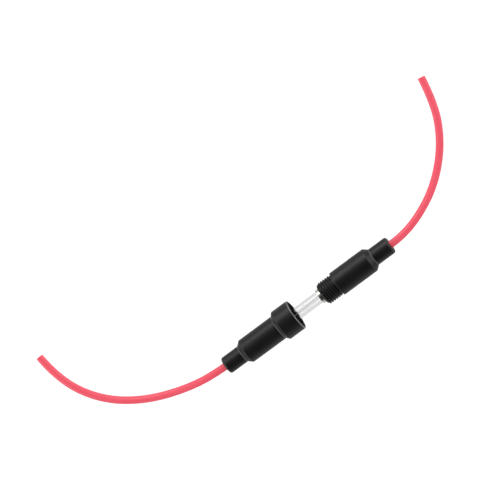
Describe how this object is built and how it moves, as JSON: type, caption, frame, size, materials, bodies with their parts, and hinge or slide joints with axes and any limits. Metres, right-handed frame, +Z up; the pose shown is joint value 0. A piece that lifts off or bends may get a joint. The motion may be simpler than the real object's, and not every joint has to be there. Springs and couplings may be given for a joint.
{
  "type": "inline fuse holder",
  "caption": "Inline fuse holder on red leads, unscrewed: a threaded body and a screw cap of black plastic with a glass tube fuse lying between them.",
  "frame": {"origin": "on the surface the holder lies on, below the middle of the two moulded halves", "axes": "+X along the holder's axis from the screw cap to the threaded body, +Y to the side the leads bend to, +Z up"},
  "size_m": [0.1863, 0.0523, 0.0127],
  "materials": {
    "black_moulding": "satin black thermoplastic, as moulded",
    "red_insulation": "coral red PVC insulation, semi-gloss",
    "copper": "bare stranded copper",
    "plated_contact": "nickel-plated brass, turned",
    "nickel_plate": "bright nickel-plated brass, drawn",
    "solder": "dull tin solder",
    "spring_steel": "drawn spring wire",
    "clear_glass": "clear drawn glass tube",
    "fuse_wire": "thin tinned fuse wire"
  },
  "bodies": {
    "threaded_body": {"body_shell": "black_moulding", "contact_spring": "spring_steel"},
    "sprung_contact": {"body_contact": "plated_contact", "body_solder": "solder", "body_lead_insulation": "red_insulation", "body_lead_conductor": "copper"},
    "fuse": {"fuse_glass": "clear_glass", "fuse_body_end_cap": "nickel_plate", "fuse_far_end_cap": "nickel_plate", "fuse_element": "fuse_wire", "fuse_body_end_solder": "solder", "fuse_far_end_solder": "solder"},
    "cap_contact_set": {"cap_contact": "plated_contact", "cap_solder": "solder", "cap_lead_insulation": "red_insulation", "cap_lead_conductor": "copper"},
    "screw_cap": {"cap_shell": "black_moulding"}
  },
  "joints": [
    {"name": "contact_push", "type": "slide", "parent": "threaded_body", "child": "sprung_contact", "axis": [1, 0, 0], "range_m": [0, 0.0087], "stiffness_N_per_m": 300, "deforming": ["contact_spring"]},
    {"name": "fuse_pull", "type": "slide", "parent": "sprung_contact", "child": "fuse", "axis": [-1, 0, 0], "range_m": [0, 0.008]},
    {"name": "cap_travel", "type": "slide", "parent": "fuse", "child": "cap_contact_set", "axis": [1, 0, 0], "range_m": [-0.01272, 0.0106]},
    {"name": "cap_turn", "type": "hinge", "parent": "cap_contact_set", "child": "screw_cap", "pos_m": [-0.0225, 0, 0.00635], "axis": [1, 0, 0], "range_deg": [-4321, 3601]}
  ],
  "couplings": [
    {"joint": "cap_turn", "follows": "cap_travel", "rad_per_m": 5927.5}
  ]
}
